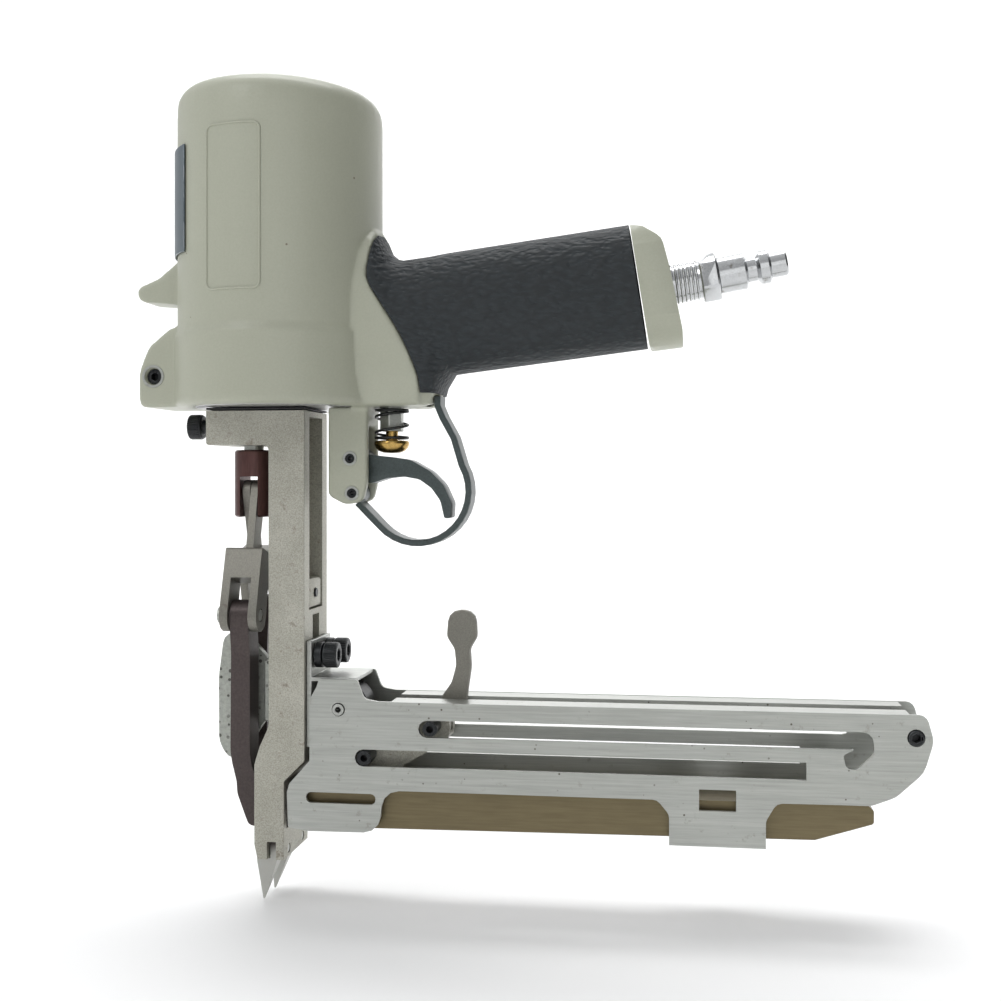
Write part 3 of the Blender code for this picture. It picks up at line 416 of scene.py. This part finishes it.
def ring(name, centre, axis, inner, outer, thick):
    """A flat sheet ring with rounded rims, turned about axis."""
    shape = bmesh.new()
    rim = 0.25 * thick
    section = [(inner, 0), (outer, 0), (outer, thick - rim), (outer - rim, thick), (inner + rim, thick),
               (inner, thick - rim)]
    turn = Vector(axis).to_track_quat("Z", "Y").to_matrix()
    sides = 40
    loops = []
    for side in range(sides):
        angle = 2 * math.pi * side / sides
        loop = []
        for radius, height in section:
            spot = Vector((radius * math.cos(angle), radius * math.sin(angle), height))
            loop.append(shape.verts.new(Vector(centre) + turn @ spot))
        loops.append(loop)
    for side in range(sides):
        here, there = loops[side], loops[(side + 1) % sides]
        for step in range(len(section)):
            after = (step + 1) % len(section)
            shape.faces.new((here[step], there[step], there[after], here[after]))
    bmesh.ops.recalc_face_normals(shape, faces=shape.faces)
    piece(name, finished(name, shape), "sheet")


# ---------------------------------------------------------------- the casting

LINER_LOW, LINER_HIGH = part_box("cylinder_liner")
BARREL_X = (LINER_LOW.x + LINER_HIGH.x) / 2
BARREL_R = 0.0352
# Radius, lowest and highest z of the plain barrel and of the skirt below it.
ROUND_BANDS = ((BARREL_R, 0.1805, 0.2520), (BARREL_R + 0.0009, 0.1555, 0.1775))
ROUND_REACH = 0.00035


def casting():
    """Painted casting with the soft inside corners of a sand casting."""
    shape = cleaned("body_casting")
    mesh = finished("body_casting_skin", shape)
    obj = piece("body_casting_skin", mesh, "paint")
    remesh = obj.modifiers.new("Remesh", "REMESH")
    remesh.mode = "VOXEL"
    remesh.voxel_size = 0.0008
    remesh.use_smooth_shade = True
    smooth = obj.modifiers.new("Smooth", "SMOOTH")
    smooth.factor = 0.5
    smooth.iterations = 7
    obj.data = applied(obj)
    obj.modifiers.clear()
    obj.data.materials.clear()
    obj.data.materials.append(FINISHES["paint"])
    round_barrel(obj.data)
    obj.data.shade_smooth()
    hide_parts("body_casting")


def round_barrel(mesh):
    """Push the barrel's points onto a true cylinder, so that it shows no flats."""
    for vertex in mesh.vertices:
        across = Vector((vertex.co.x - BARREL_X, vertex.co.y))
        for radius, low, high in ROUND_BANDS:
            if low < vertex.co.z < high and abs(across.length - radius) < ROUND_REACH:
                across = across.normalized() * radius
                vertex.co.x = BARREL_X + across.x
                vertex.co.y = across.y


def name_panel():
    """The blank raised panel's border on the barrel's near side."""
    centre_x, half_x = -0.0091, 0.0095
    low, high, corner = 0.1905, 0.2440, 0.0022
    points = []
    for start, (x, z) in enumerate((
        (centre_x + half_x - corner, high - corner), (centre_x - half_x + corner, high - corner),
        (centre_x - half_x + corner, low + corner), (centre_x + half_x - corner, low + corner),
    )):
        for step in range(7):
            angle = math.radians(90 * start + 15 * step)
            points.append((x + corner * math.cos(angle), z + corner * math.sin(angle)))
    dense = []
    spacing = 0.0012
    for index, (x, z) in enumerate(points):
        next_x, next_z = points[(index + 1) % len(points)]
        steps = max(1, int(abs(next_x - x) / spacing))
        for step in range(steps):
            share = step / steps
            dense.append((x + (next_x - x) * share, z + (next_z - z) * share))
    depth = BARREL_R + 0.00002  # the wire's middle, just proud of the barrel
    path = [(x, -math.sqrt(depth ** 2 - (x - BARREL_X) ** 2), z) for x, z in dense]
    tube_curve("name_panel_border", path, 0.00042, "paint", closed=True)


# ---------------------------------------------------------------- small surface pieces

def plug_thread():
    """The helical thread of the air plug, between the end cap and the hexagon."""
    lean = math.radians(10.0)
    along = Vector((math.cos(lean), 0, math.sin(lean)))
    mount = next(entry for entry in frame["record"]["mounts"] if entry["name"] == "air_plug_end")
    tip = Vector((mount["pos_m"][0], 0, mount["pos_m"][2]))
    side, up = Vector((0, 1, 0)), Vector((-math.sin(lean), 0, math.cos(lean)))
    points = []
    turns, per_turn, pitch = 6.5, 28, 0.00134
    plug_length, cap_end, lead, radius = 0.0424, 0.0138, 0.0006, 0.0063
    start = plug_length - cap_end + lead
    for index in range(int(turns * per_turn)):
        angle = 2 * math.pi * index / per_turn
        spot = tip - along * (start + pitch * index / per_turn)
        points.append(spot + (side * math.cos(angle) + up * math.sin(angle)) * radius)
    tube_curve("air_plug_thread", points, 0.00042, "chrome", resolution=2)


def hole_rims():
    """Bright rims round the set screw and both ends of the trigger leg's roll pins."""
    low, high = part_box("flange_set_screw")
    centre = (low + high) / 2
    ring("set_screw_rim", (centre.x, -0.01385, centre.z), (0, -1, 0), 0.0030, 0.0039, 0.0003)
    for name in ("trigger_pin", "guard_pin"):
        low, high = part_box(name)
        centre = (low + high) / 2
        for label, y, facing in (("near", -0.0089, -1), ("far", 0.0089, 1)):
            ring(f"{name}_{label}_rim", (centre.x, y, centre.z), (0, facing, 0),
                 0.00165, 0.00245, 0.0002)


def knurl(node, outward):
    """Fluted band round a cap screw's head."""
    low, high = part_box(node)
    centre = (low + high) / 2
    radius = (high.z - low.z) / 2
    end = high.x - 0.0002 if outward > 0 else low.x + 0.0002
    # Distance back from the end face, and how far past the head's radius.
    stations = [(0.0, -0.0006), (0.0, -0.00005), (0.0004, 0.00012), (0.0040, 0.00012), (0.0043, -0.0006)]
    shape = bmesh.new()
    loops = []
    flutes = 30
    for back, swell in stations:
        loop = []
        for step in range(4 * flutes):
            angle = 2 * math.pi * step / (4 * flutes)
            dip = 0.00022 if step % 4 == 0 and swell > 0 else 0.0
            reach = radius + swell - dip
            loop.append(shape.verts.new((
                end - outward * back, centre.y + reach * math.cos(angle), centre.z + reach * math.sin(angle),
            )))
        loops.append(loop)
    for here, there in zip(loops, loops[1:] + loops[:1]):
        for step in range(len(here)):
            after = (step + 1) % len(here)
            shape.faces.new((here[step], here[after], there[after], there[step]))
    bmesh.ops.recalc_face_normals(shape, faces=shape.faces)
    piece(f"{node}_knurl", finished(f"{node}_knurl", shape, 30), "black_steel")


def valve_parts():
    """Six-sided valve housing and the finer coil spring below it; the real spring shortens as the valve is
    pressed, this coil keeps one length.
    """
    low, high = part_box("valve_housing")
    centre = (low + high) / 2
    shape = bmesh.new()
    radius = 0.0043
    made = bmesh.ops.create_cone(shape, cap_ends=True, segments=6, radius1=radius, radius2=radius,
                                 depth=high.z - low.z, matrix=Matrix.Translation(centre))
    bmesh.ops.inset_region(
        shape, faces=[face for face in made["verts"][0].link_faces if abs(face.normal.z) > 0.9],
        thickness=0.0014, depth=-0.0008,
    )
    housing = piece("valve_housing_hex", finished("valve_housing_hex", shape, 30), "sheet")
    bevel = housing.modifiers.new("Bevel", "BEVEL")
    bevel.width = 0.0003
    bevel.segments = 2
    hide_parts("valve_housing")
    low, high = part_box("valve_spring")
    radius, wire = (high.y - low.y) / 2 - 0.0006, 0.00048
    bottom, top = low.z + wire, high.z - wire
    points = []
    per_turn, turns, dead, rising = 36, 4, 30, 90
    for step in range(turns * per_turn + 1):
        angle = 2 * math.pi * step / per_turn
        share = min(1.0, max(0.0, (step - dead) / rising))
        rise = share * share * (3 - 2 * share)
        points.append((centre.x + radius * math.cos(angle), centre.y + radius * math.sin(angle),
                       bottom + (top - bottom) * rise + wire * 0.02 * step / per_turn))
    coil = tube_curve("valve_spring_coil", points, wire, "spring_steel")
    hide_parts("valve_spring")
    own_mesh(coil)


def pieces():
    """Every visible piece of the tool."""
    casting()
    valve_parts()
    for screw, outward in (("frame_front_screw", -1), ("near_bracket_screw", 1), ("far_bracket_screw", 1)):
        knurl(screw, outward)
    name_panel()
    plug_thread()
    hole_rims()
    for node in NODES:
        if node in ("body_casting", "valve_housing", "valve_spring"):
            continue
        width, segments = 0.22, 2
        if node in ("frame", "handle_end_cap", "trigger", "near_jaw_lever", "far_jaw_lever"):
            width = 0.45
        if node.endswith("magazine_plate"):
            width = 0.35
        if node in ("piston_ring", "piston_bumper", "cylinder_liner"):
            segments = 1
        refined(node, width, segments)


# ---------------------------------------------------------------- studio

def backdrop(floor_z):
    """A white sweep: floor in front, curved up into a wall far behind the tool."""
    profile = [(-3.0, 0.0), (-1.0, 0.0), (0.6, 0.0), (1.4, 0.0)]
    for step in range(1, 13):
        angle = math.radians(7.5 * step)
        profile.append((1.4 + 1.6 * math.sin(angle), 1.6 - 1.6 * math.cos(angle)))
    profile += [(3.0, 2.4), (3.0, 3.2)]
    shape = bmesh.new()
    rows = [[shape.verts.new((x, y, floor_z + z)) for x in (-4.5, -1.5, 1.5, 4.5)] for y, z in profile]
    for here, there in zip(rows, rows[1:]):
        for step in range(3):
            shape.faces.new((here[step], here[step + 1], there[step + 1], there[step]))
    mesh = finished("studio_floor", shape)
    material, nodes, links, shader = graph("studio_floor")
    grain = noise(nodes, links, coordinates(nodes, links), 3.0)
    links.new(ramp(nodes, links, grain, 0.3, 0.7, (0.93, 0.93, 0.93, 1), (0.95, 0.95, 0.95, 1)),
              shader.inputs["Base Color"])
    shader.inputs["Roughness"].default_value = 0.9
    mesh.materials.append(material)
    floor = bpy.data.objects.new("studio_floor", mesh)
    bpy.context.scene.collection.objects.link(floor)


def area_light(name, place, target, size, power):
    """A round soft light at place, aimed at target."""
    data = bpy.data.lights.new(name, "AREA")
    data.shape = "DISK"
    data.size = size
    data.energy = power
    lamp = bpy.data.objects.new(name, data)
    lamp.location = place
    lamp.rotation_euler = (Vector(target) - Vector(place)).to_track_quat("-Z", "Y").to_euler()
    bpy.context.scene.collection.objects.link(lamp)


def studio():
    """White surroundings with a dark card on the handle's side and a dimmer front."""
    world = bpy.data.worlds.new("studio")
    world.use_nodes = True
    nodes, links = world.node_tree.nodes, world.node_tree.links
    background = nodes["Background"]
    direction = nodes.new("ShaderNodeTexCoord")
    split = nodes.new("ShaderNodeSeparateXYZ")
    links.new(direction.outputs["Generated"], split.inputs["Vector"])
    front = nodes.new("ShaderNodeMath")
    front.operation = "MULTIPLY"
    front.inputs[1].default_value = -1.0
    links.new(split.outputs["Y"], front.inputs[0])
    product = nodes.new("ShaderNodeMath")
    product.operation = "MULTIPLY"
    card = mapped(nodes, links, split.outputs["X"], 0.30, 0.70, 1.0, 0.10)
    dimmer = mapped(nodes, links, front.outputs["Value"], 0.1, 0.9, 1.0, 0.62)
    links.new(card, product.inputs[0])
    links.new(dimmer, product.inputs[1])
    background.inputs["Color"].default_value = (0.80, 0.81, 0.82, 1)
    links.new(product.outputs["Value"], background.inputs["Strength"])
    bpy.context.scene.world = world
    aim = (0.07, 0.0, 0.13)
    area_light("key", (-0.6, -1.0, 1.0), aim, 0.7, 4)
    area_light("fill", (0.5, -1.3, 0.3), aim, 1.0, 1.8)
    area_light("back", (-0.3, 1.2, 0.9), aim, 0.9, 2)
    area_light("wall", (0.0, 0.9, 2.6), (0.0, 3.0, 0.6), 2.5, 75)


def camera():
    """Level camera in front of the handle, turned a little towards the barrel."""
    data = bpy.data.cameras.new("camera")
    sensor, focal_pixels, rise_pixels, image_pixels = 36, 1314, 20.5, 1001
    data.sensor_width = sensor
    data.lens = sensor * focal_pixels / image_pixels
    data.shift_y = -rise_pixels / image_pixels
    data.clip_start = 0.01
    eye = bpy.data.objects.new("camera", data)
    yaw = math.atan(0.1442)
    eye.location = (0.1376, -0.4426, 0.1284)
    eye.rotation_euler = (math.pi / 2, 0, yaw)
    bpy.context.scene.collection.objects.link(eye)
    bpy.context.scene.camera = eye


pieces()
camera()
studio()
backdrop(cad_box[0][2] - 0.0005)
bpy.context.scene.view_settings.view_transform = "Standard"
bpy.context.view_layer.update()
